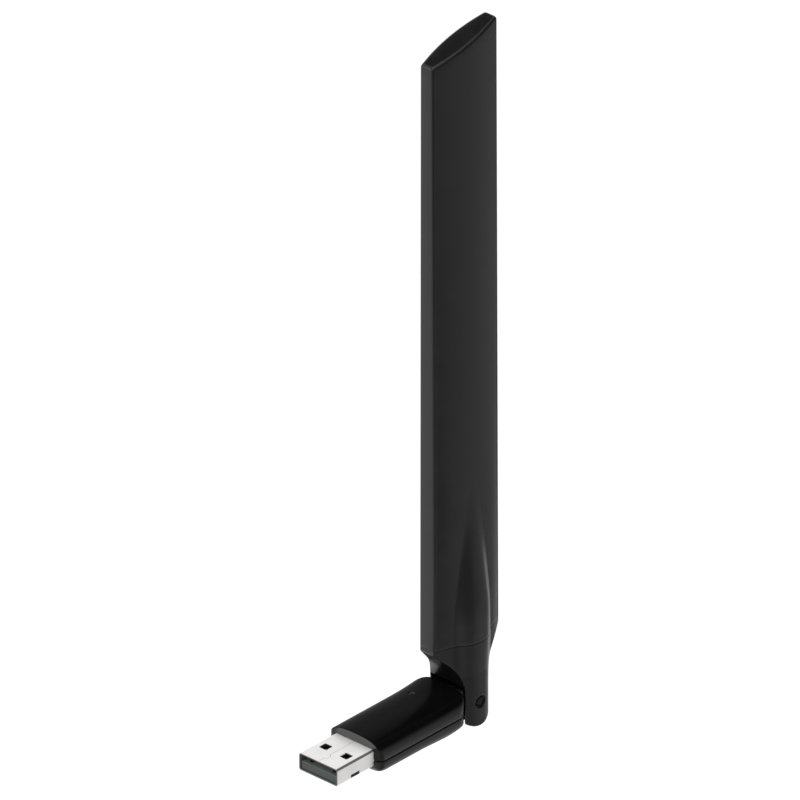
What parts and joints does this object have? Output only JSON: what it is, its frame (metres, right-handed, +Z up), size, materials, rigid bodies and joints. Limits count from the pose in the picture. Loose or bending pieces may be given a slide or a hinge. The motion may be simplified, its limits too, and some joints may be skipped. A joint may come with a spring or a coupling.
{
  "type": "usb wireless adapter",
  "caption": "USB plug-in wireless network adapter: slim glossy housing with a standard plug and a tall blade antenna that folds on a fork hinge.",
  "frame": {"origin": "on the plug's axis, at the housing's front face where the plug leaves it", "axes": "+Y from the plug towards the hinge, +Z up along the upright antenna, +X across to the right-hand side seen from behind the plug"},
  "size_m": [0.0164, 0.0594, 0.1816],
  "materials": {
    "nickel": "bright nickel plate on formed steel sheet",
    "gold": "gold-plated contacts",
    "copper": "copper foil",
    "gloss_black": "polished black moulding",
    "satin_black": "satin black moulding",
    "dark_nylon": "dark grey nylon",
    "steel": "plain steel",
    "black_steel": "blackened steel",
    "green_laminate": "glass-epoxy laminate with green mask",
    "chip_epoxy": "moulded epoxy",
    "ferrite": "ferrite body",
    "ceramic_tan": "fired ceramic",
    "clear_acrylic": "clear moulding",
    "smoked_acrylic": "smoked moulding",
    "cable_jacket": "fluoropolymer cable jacket"
  },
  "bodies": {
    "adapter_body": {"plug_shell": "nickel", "plug_insulator": "dark_nylon", "contact_power": "gold", "contact_data_minus": "gold", "contact_data_plus": "gold", "contact_ground": "gold", "upper_shell": "gloss_black", "lower_shell": "satin_black", "main_board": "green_laminate", "radio_chip": "chip_epoxy", "regulator": "chip_epoxy", "power_inductor": "ferrite", "crystal": "steel", "radio_filter": "ceramic_tan", "status_led": "clear_acrylic", "light_pipe": "smoked_acrylic", "capacitor_1": "ceramic_tan", "capacitor_2": "ceramic_tan", "capacitor_3": "ceramic_tan", "capacitor_4": "ceramic_tan", "coax_body_run": "cable_jacket", "coax_hinge_bend": "cable_jacket"},
    "antenna": {"antenna_sleeve": "satin_black", "antenna_fork": "satin_black", "hinge_pin_left": "black_steel", "hinge_pin_right": "black_steel", "antenna_board": "green_laminate", "dipole_arm_lower": "copper", "dipole_arm_upper": "copper", "coax_antenna_run": "cable_jacket"}
  },
  "joints": [
    {"name": "antenna_fold", "type": "hinge", "parent": "adapter_body", "child": "antenna", "pos_m": [0, 0.036, 0], "axis": [-1, 0, 0], "range_deg": [0, 180], "deforming": ["coax_hinge_bend"]}
  ]
}
